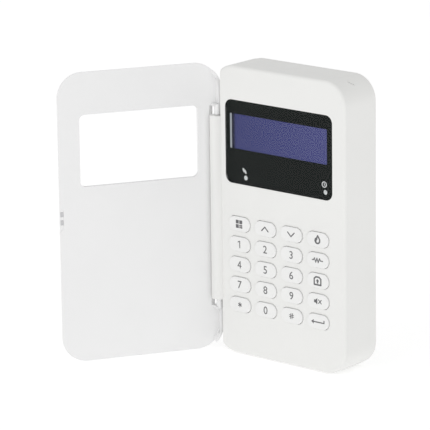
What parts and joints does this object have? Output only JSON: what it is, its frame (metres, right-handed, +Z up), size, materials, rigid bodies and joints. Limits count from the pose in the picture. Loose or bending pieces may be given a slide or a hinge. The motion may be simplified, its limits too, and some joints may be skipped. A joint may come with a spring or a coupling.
{
  "type": "alarm keypad panel",
  "caption": "Wall-mounted alarm keypad: slim white case with a dark display, a grid of push keys and a side-hinged cover that has a window over the display.",
  "frame": {"origin": "centre of the wall face, on the back of the bracket", "axes": "+X to the right seen from the front, +Y into the wall, +Z up"},
  "size_m": [0.1298, 0.0934, 0.15],
  "materials": {
    "white_shell": "fine satin texture",
    "cover_white": "fine satin texture",
    "key_white": "satin",
    "inner_shell": "moulded, matt",
    "lens": "polished acrylic",
    "black_film": "glossy print",
    "lcd": "blue display",
    "white_frame": "moulded",
    "diffuser": "milky",
    "flex": "satin",
    "light_guide": "clear",
    "led": "clear",
    "board": "solder resist",
    "radio_board": "solder resist",
    "mat": "translucent silicone",
    "steel": "plated",
    "brass": "drawn",
    "chip": "moulded",
    "tray": "moulded",
    "cell": "printed sleeve",
    "plunger": "moulded",
    "magnet": "dark nickel plate"
  },
  "bodies": {
    "panel": {"front_cover": "white_shell", "rear_cover": "inner_shell", "wall_bracket": "white_shell", "case_screws": "steel", "display_lens": "lens", "lens_mask": "black_film", "lcd_glass": "lcd", "lcd_frame": "white_frame", "lcd_backlight": "diffuser", "lcd_flex": "flex", "light_guides": "light_guide", "status_leds": "led", "main_board": "board", "key_mat": "mat", "key_domes": "steel", "processor": "chip", "radio_module": "radio_board", "radio_shield": "steel", "antenna": "brass", "buzzer": "chip", "board_parts": "chip", "battery_tray": "tray", "battery_cells": "cell", "cell_tips": "steel", "cell_contacts": "steel", "tamper_switch": "chip", "catch_plates": "steel"},
    "cover": {"cover_flap": "cover_white", "hinge_pins": "steel", "cover_magnets": "magnet"},
    "key_menu": {"key_menu": "key_white"},
    "key_up": {"key_up": "key_white"},
    "key_down": {"key_down": "key_white"},
    "key_fire": {"key_fire": "key_white"},
    "key_1": {"key_1": "key_white"},
    "key_2": {"key_2": "key_white"},
    "key_3": {"key_3": "key_white"},
    "key_sos": {"key_sos": "key_white"},
    "key_4": {"key_4": "key_white"},
    "key_5": {"key_5": "key_white"},
    "key_6": {"key_6": "key_white"},
    "key_home": {"key_home": "key_white"},
    "key_7": {"key_7": "key_white"},
    "key_8": {"key_8": "key_white"},
    "key_9": {"key_9": "key_white"},
    "key_mute": {"key_mute": "key_white"},
    "key_star": {"key_star": "key_white"},
    "key_0": {"key_0": "key_white"},
    "key_hash": {"key_hash": "key_white"},
    "key_enter": {"key_enter": "key_white"},
    "tamper": {"tamper_plunger": "plunger"}
  },
  "joints": [
    {"name": "cover_hinge", "type": "hinge", "parent": "panel", "child": "cover", "pos_m": [-0.0408, -0.0234, 0], "axis": [0, 0, 1], "range_deg": [-9, 121]},
    {"name": "key_menu_press", "type": "slide", "parent": "panel", "child": "key_menu", "axis": [0, 1, 0], "range_m": [0, 0.0008], "stiffness_N_per_m": 900, "springref_m": -0.0005},
    {"name": "key_up_press", "type": "slide", "parent": "panel", "child": "key_up", "axis": [0, 1, 0], "range_m": [0, 0.0008], "stiffness_N_per_m": 900, "springref_m": -0.0005},
    {"name": "key_down_press", "type": "slide", "parent": "panel", "child": "key_down", "axis": [0, 1, 0], "range_m": [0, 0.0008], "stiffness_N_per_m": 900, "springref_m": -0.0005},
    {"name": "key_fire_press", "type": "slide", "parent": "panel", "child": "key_fire", "axis": [0, 1, 0], "range_m": [0, 0.0008], "stiffness_N_per_m": 900, "springref_m": -0.0005},
    {"name": "key_1_press", "type": "slide", "parent": "panel", "child": "key_1", "axis": [0, 1, 0], "range_m": [0, 0.0008], "stiffness_N_per_m": 900, "springref_m": -0.0005},
    {"name": "key_2_press", "type": "slide", "parent": "panel", "child": "key_2", "axis": [0, 1, 0], "range_m": [0, 0.0008], "stiffness_N_per_m": 900, "springref_m": -0.0005},
    {"name": "key_3_press", "type": "slide", "parent": "panel", "child": "key_3", "axis": [0, 1, 0], "range_m": [0, 0.0008], "stiffness_N_per_m": 900, "springref_m": -0.0005},
    {"name": "key_sos_press", "type": "slide", "parent": "panel", "child": "key_sos", "axis": [0, 1, 0], "range_m": [0, 0.0008], "stiffness_N_per_m": 900, "springref_m": -0.0005},
    {"name": "key_4_press", "type": "slide", "parent": "panel", "child": "key_4", "axis": [0, 1, 0], "range_m": [0, 0.0008], "stiffness_N_per_m": 900, "springref_m": -0.0005},
    {"name": "key_5_press", "type": "slide", "parent": "panel", "child": "key_5", "axis": [0, 1, 0], "range_m": [0, 0.0008], "stiffness_N_per_m": 900, "springref_m": -0.0005},
    {"name": "key_6_press", "type": "slide", "parent": "panel", "child": "key_6", "axis": [0, 1, 0], "range_m": [0, 0.0008], "stiffness_N_per_m": 900, "springref_m": -0.0005},
    {"name": "key_home_press", "type": "slide", "parent": "panel", "child": "key_home", "axis": [0, 1, 0], "range_m": [0, 0.0008], "stiffness_N_per_m": 900, "springref_m": -0.0005},
    {"name": "key_7_press", "type": "slide", "parent": "panel", "child": "key_7", "axis": [0, 1, 0], "range_m": [0, 0.0008], "stiffness_N_per_m": 900, "springref_m": -0.0005},
    {"name": "key_8_press", "type": "slide", "parent": "panel", "child": "key_8", "axis": [0, 1, 0], "range_m": [0, 0.0008], "stiffness_N_per_m": 900, "springref_m": -0.0005},
    {"name": "key_9_press", "type": "slide", "parent": "panel", "child": "key_9", "axis": [0, 1, 0], "range_m": [0, 0.0008], "stiffness_N_per_m": 900, "springref_m": -0.0005},
    {"name": "key_mute_press", "type": "slide", "parent": "panel", "child": "key_mute", "axis": [0, 1, 0], "range_m": [0, 0.0008], "stiffness_N_per_m": 900, "springref_m": -0.0005},
    {"name": "key_star_press", "type": "slide", "parent": "panel", "child": "key_star", "axis": [0, 1, 0], "range_m": [0, 0.0008], "stiffness_N_per_m": 900, "springref_m": -0.0005},
    {"name": "key_0_press", "type": "slide", "parent": "panel", "child": "key_0", "axis": [0, 1, 0], "range_m": [0, 0.0008], "stiffness_N_per_m": 900, "springref_m": -0.0005},
    {"name": "key_hash_press", "type": "slide", "parent": "panel", "child": "key_hash", "axis": [0, 1, 0], "range_m": [0, 0.0008], "stiffness_N_per_m": 900, "springref_m": -0.0005},
    {"name": "key_enter_press", "type": "slide", "parent": "panel", "child": "key_enter", "axis": [0, 1, 0], "range_m": [0, 0.0008], "stiffness_N_per_m": 900, "springref_m": -0.0005},
    {"name": "tamper_slide", "type": "slide", "parent": "panel", "child": "tamper", "axis": [0, 1, 0], "range_m": [-0.0015, 0], "stiffness_N_per_m": 300, "springref_m": 0.001}
  ]
}
